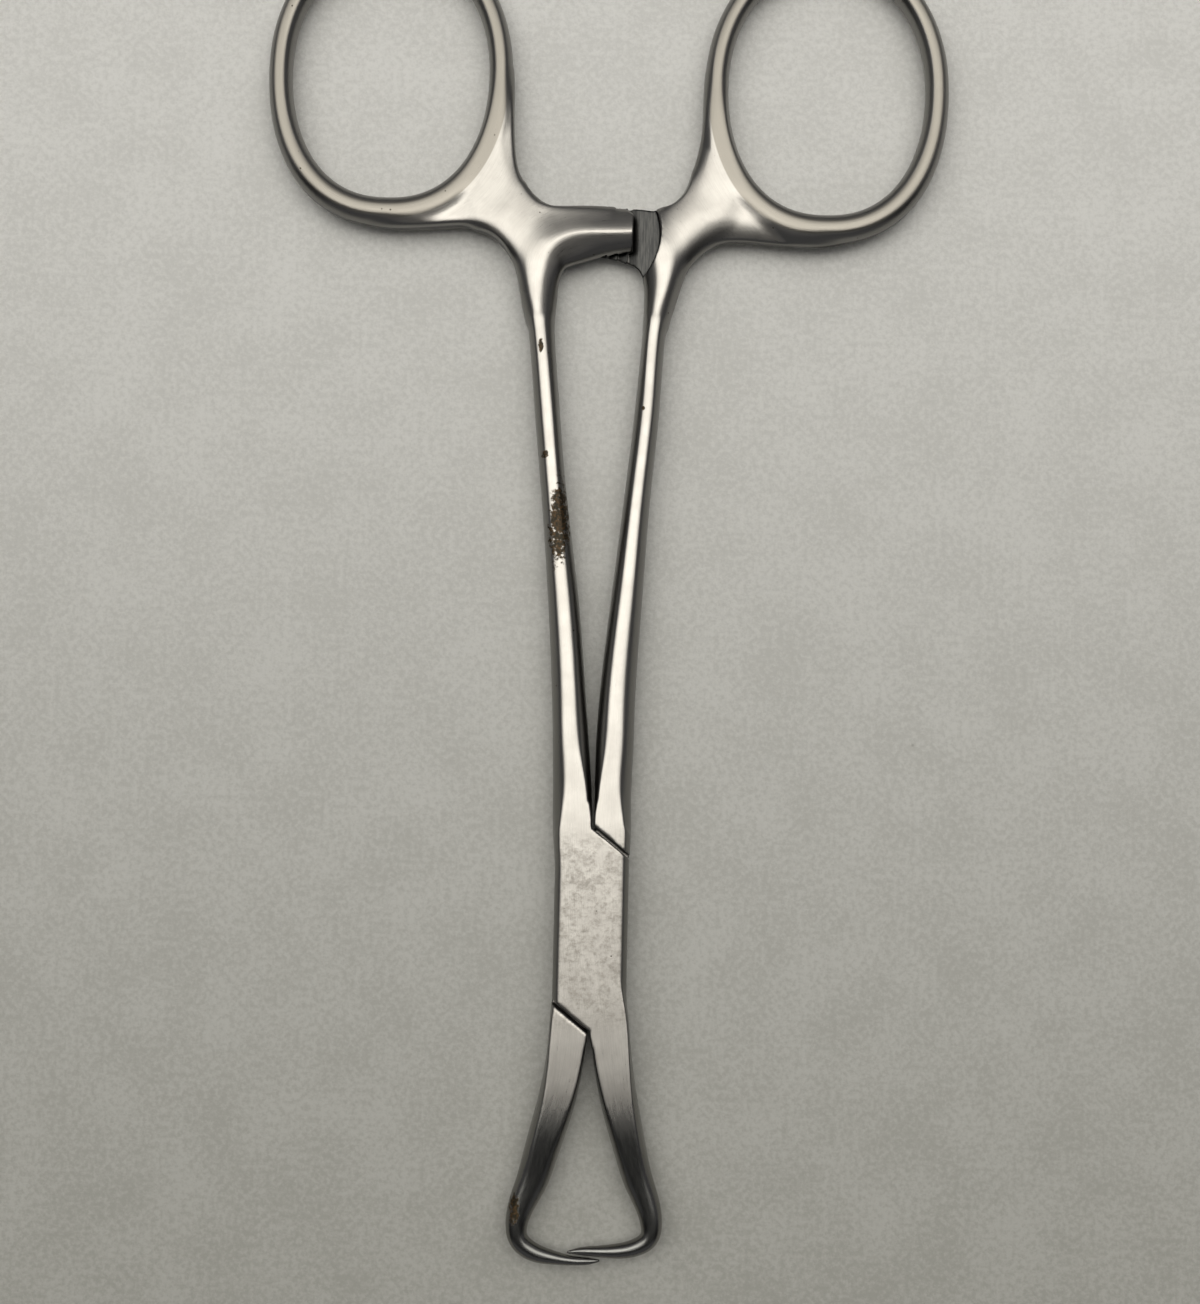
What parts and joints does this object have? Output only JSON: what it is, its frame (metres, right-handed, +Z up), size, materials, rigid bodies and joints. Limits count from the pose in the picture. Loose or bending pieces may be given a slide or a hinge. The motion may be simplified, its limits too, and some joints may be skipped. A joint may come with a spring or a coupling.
{
  "type": "towel clamp",
  "caption": "Surgical towel clamp with finger rings, ratchet arms, a box lock and crossing curved points; the halves open about a riveted pin.",
  "frame": {"origin": "on the lock pin's axis, at the flat underside of the box lock", "axes": "+Y from the lock towards the finger rings, +X to the right seen from above, +Z up along the pin, out of the face that the picture shows"},
  "size_m": [0.0695, 0.1345, 0.0044],
  "materials": {
    "box_half_steel": "satin",
    "tongue_half_steel": "satin",
    "pin_steel": "satin, ground flush"
  },
  "bodies": {
    "box_body": {"box_half": "box_half_steel", "lock_pin": "pin_steel"},
    "tongue_body": {"tongue_half": "tongue_half_steel"}
  },
  "joints": [
    {"name": "lock_hinge", "type": "hinge", "parent": "box_body", "child": "tongue_body", "pos_m": [0, 0, 0.0022], "axis": [0, 0, -1], "range_deg": [0, 45]}
  ]
}
